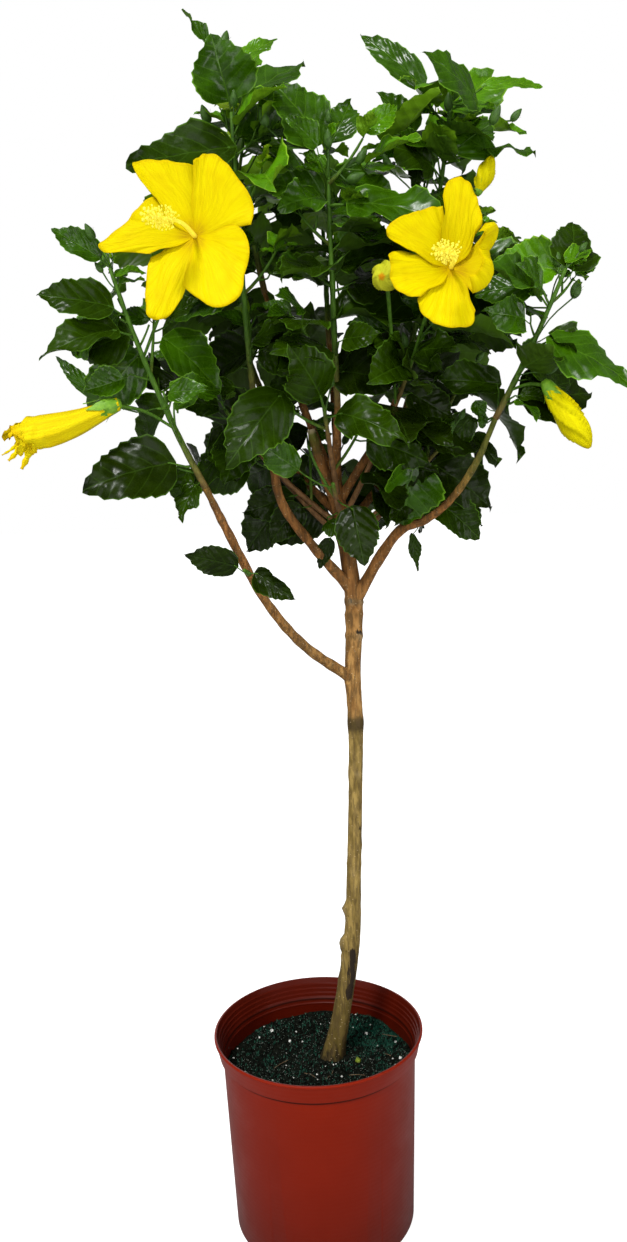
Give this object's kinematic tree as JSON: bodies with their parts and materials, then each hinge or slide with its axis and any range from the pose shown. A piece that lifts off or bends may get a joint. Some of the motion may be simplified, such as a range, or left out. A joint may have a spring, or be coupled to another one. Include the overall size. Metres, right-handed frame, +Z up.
{
  "type": "potted hibiscus standard tree",
  "caption": "Small hibiscus standard: bare slender trunk, round leafy crown with open yellow flowers, growing in a terracotta-coloured nursery pot.",
  "frame": {"origin": "centre of the pot's flat underside", "axes": "+Z up along the pot's axis and the plant's height, +X to the plant's right as seen from its face, -Y out of its face"},
  "size_m": [0.6032, 0.4965, 1.4072],
  "materials": {
    "pot_plastic": "matte terracotta red with a soft sheen",
    "soil": "moist dark potting mix",
    "bark": "smooth brown bark with scars",
    "foliage": "glossy dark green leaves"
  },
  "bodies": {
    "root": {"pot": "pot_plastic", "soil": "soil", "trunk": "bark", "bough_low_left": "bark", "bough_left": "bark", "bough_right": "bark", "bough_back_right": "bark", "bough_back_left": "bark", "bough_stub": "bark", "bough_inner_right": "bark", "bough_back": "bark", "bough_top_left": "bark", "bough_centre": "bark", "foliage_left": "foliage", "foliage_upper_left": "foliage", "foliage_top_left": "foliage", "foliage_centre_up": "foliage", "foliage_top_right": "foliage", "foliage_right": "foliage", "foliage_back_left": "foliage", "foliage_back_right": "foliage", "foliage_back": "foliage", "foliage_low_left": "foliage", "foliage_low_right": "foliage", "foliage_low_front": "foliage", "foliage_inner_left": "foliage", "foliage_centre_front": "foliage", "foliage_right_mid": "foliage", "foliage_inner_right": "foliage", "foliage_side_left": "foliage", "foliage_side_right": "foliage", "foliage_low_back": "foliage"}
  },
  "joints": []
}
